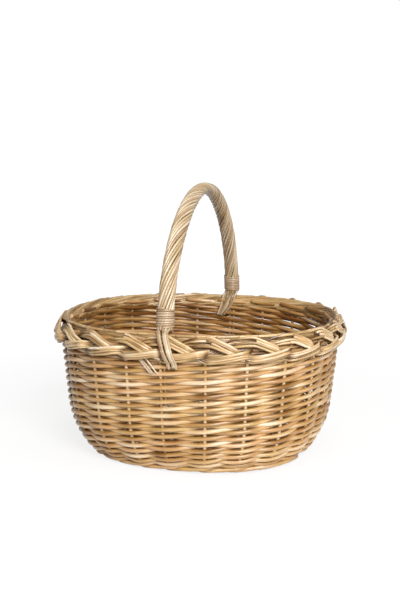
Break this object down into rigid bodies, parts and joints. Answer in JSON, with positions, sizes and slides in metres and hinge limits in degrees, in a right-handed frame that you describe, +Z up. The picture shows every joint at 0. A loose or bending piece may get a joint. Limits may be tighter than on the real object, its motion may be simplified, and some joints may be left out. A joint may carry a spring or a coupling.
{
  "type": "foraging basket",
  "caption": "Oval willow basket with a randed wall, a plaited border and a fixed roped bow handle over its width.",
  "frame": {"origin": "on the floor under the middle of the basket", "axes": "+X along the oval, +Y across it in the handle's plane, +Z up"},
  "size_m": [0.4184, 0.4033, 0.3841],
  "materials": {
    "stake_willow": "satin",
    "weaver_willow": "satin",
    "border_willow": "satin",
    "handle_willow": "satin",
    "binding_cane": "satin",
    "base_willow": "satin"
  },
  "bodies": {
    "root": {"back_binding": "binding_cane", "base_weaver_1": "base_willow", "base_weaver_2": "base_willow", "border_strand_1": "border_willow", "border_strand_2": "border_willow", "border_strand_3": "border_willow", "cross_stick_1": "base_willow", "cross_stick_2": "base_willow", "cross_stick_3": "base_willow", "cross_stick_4": "base_willow", "cross_stick_5": "base_willow", "foot_wale_1": "weaver_willow", "foot_wale_2": "weaver_willow", "foot_wale_3": "weaver_willow", "front_binding": "binding_cane", "handle_bow": "handle_willow", "long_stick_1": "base_willow", "long_stick_2": "base_willow", "long_stick_3": "base_willow", "rope_rod_1": "handle_willow", "rope_rod_2": "handle_willow", "rope_rod_3": "handle_willow", "rope_rod_4": "handle_willow", "rope_rod_5": "handle_willow", "rope_rod_6": "handle_willow", "rope_rod_7": "handle_willow", "rope_rod_8": "handle_willow", "rope_rod_9": "handle_willow", "siding_1_weaver_1": "weaver_willow", "siding_1_weaver_2": "weaver_willow", "siding_2_weaver_1": "weaver_willow", "siding_2_weaver_2": "weaver_willow", "siding_3_weaver_1": "weaver_willow", "siding_3_weaver_2": "weaver_willow", "stake_01": "stake_willow", "stake_02": "stake_willow", "stake_03": "stake_willow", "stake_04": "stake_willow", "stake_05": "stake_willow", "stake_06": "stake_willow", "stake_07": "stake_willow", "stake_08": "stake_willow", "stake_09": "stake_willow", "stake_10": "stake_willow", "stake_11": "stake_willow", "stake_12": "stake_willow", "stake_13": "stake_willow", "stake_14": "stake_willow", "stake_15": "stake_willow", "stake_16": "stake_willow", "stake_17": "stake_willow", "stake_18": "stake_willow", "stake_19": "stake_willow", "stake_20": "stake_willow", "stake_21": "stake_willow", "stake_22": "stake_willow"}
  },
  "joints": []
}
